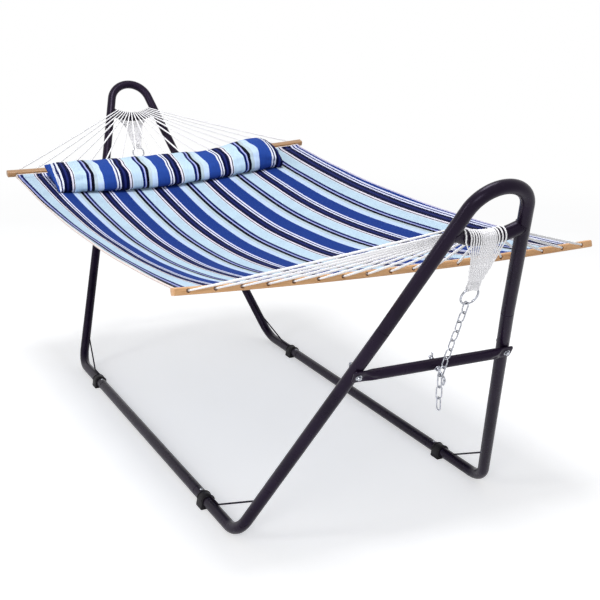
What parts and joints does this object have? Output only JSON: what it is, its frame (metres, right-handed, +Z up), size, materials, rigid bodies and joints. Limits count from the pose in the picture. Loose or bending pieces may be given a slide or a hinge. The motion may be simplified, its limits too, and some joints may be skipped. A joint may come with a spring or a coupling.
{
  "type": "hammock on stand",
  "caption": "Striped padded hammock bed between wooden spreader bars, hung by fanned ropes from a bolted tubular steel floor stand with adjusting chains at both ends, and a loose long pillow.",
  "frame": {"origin": "on the floor, under the middle of the stand", "axes": "+X along the length towards the foot end, -X towards the pillow, +Y across the width, +Z up"},
  "size_m": [3.0618, 1.397, 1.1909],
  "materials": {
    "steel_black": "satin black powder coat",
    "plastic_black": "moulded, matt",
    "zinc": "zinc plated",
    "wood": "varnished, warm light brown",
    "rope": "white twisted rope",
    "bed_cloth": "smooth padded cloth, striped royal blue, navy, pale aqua and white along the length",
    "pillow_cloth": "the same striped cloth, filled"
  },
  "bodies": {
    "stand": {"end_loop_foot": "steel_black", "rope_saddle_foot": "steel_black", "cross_brace_foot": "steel_black", "corner_tube_foot_near": "steel_black", "clamp_foot_foot_near": "plastic_black", "corner_rod_foot_near": "steel_black", "brace_bolt_foot_near": "zinc", "corner_tube_foot_far": "steel_black", "clamp_foot_foot_far": "plastic_black", "corner_rod_foot_far": "steel_black", "brace_bolt_foot_far": "zinc", "hook_bolt_foot": "zinc", "wing_nut_foot": "zinc", "ring_foot": "zinc", "rope_clew_foot": "rope", "chain_link_foot_1": "zinc", "chain_link_foot_2": "zinc", "chain_link_foot_3": "zinc", "chain_link_foot_4": "zinc", "chain_link_foot_5": "zinc", "chain_link_foot_6": "zinc", "chain_link_foot_7": "zinc", "chain_link_foot_8": "zinc", "chain_link_foot_9": "zinc", "end_loop_head": "steel_black", "rope_saddle_head": "steel_black", "cross_brace_head": "steel_black", "corner_tube_head_near": "steel_black", "clamp_foot_head_near": "plastic_black", "corner_rod_head_near": "steel_black", "brace_bolt_head_near": "zinc", "corner_tube_head_far": "steel_black", "clamp_foot_head_far": "plastic_black", "corner_rod_head_far": "steel_black", "brace_bolt_head_far": "zinc", "hook_bolt_head": "zinc", "wing_nut_head": "zinc", "ring_head": "zinc", "rope_clew_head": "rope", "chain_link_head_1": "zinc", "chain_link_head_2": "zinc", "chain_link_head_3": "zinc", "chain_link_head_4": "zinc", "chain_link_head_5": "zinc", "chain_link_head_6": "zinc", "chain_link_head_7": "zinc", "chain_link_head_8": "zinc", "chain_link_head_9": "zinc", "ground_rail_near": "steel_black", "ground_rail_far": "steel_black"},
    "bed": {"fabric_bed": "bed_cloth", "spreader_bar_foot": "wood", "rope_fan_foot": "rope", "spreader_bar_head": "wood", "rope_fan_head": "rope"},
    "pillow": {"pillow": "pillow_cloth"},
    "chain_tail_foot": {"chain_link_foot_10": "zinc", "chain_link_foot_11": "zinc"},
    "chain_tail_head": {"chain_link_head_10": "zinc", "chain_link_head_11": "zinc"}
  },
  "joints": [
    {"name": "bed_sway", "type": "hinge", "parent": "stand", "child": "bed", "pos_m": [0, 0, 1.045], "axis": [1, 0, 0], "range_deg": [-15, 15]},
    {"name": "pillow_lift", "type": "slide", "parent": "bed", "child": "pillow", "axis": [0, 0, 1], "range_m": [0, 0.15]},
    {"name": "chain_tail_foot_swing", "type": "hinge", "parent": "stand", "child": "chain_tail_foot", "pos_m": [1.25853, 0, 0.56151], "axis": [1, 0, 0], "range_deg": [-60, 60]},
    {"name": "chain_tail_head_swing", "type": "hinge", "parent": "stand", "child": "chain_tail_head", "pos_m": [-1.25853, 0, 0.56151], "axis": [1, 0, 0], "range_deg": [-60, 60]}
  ]
}
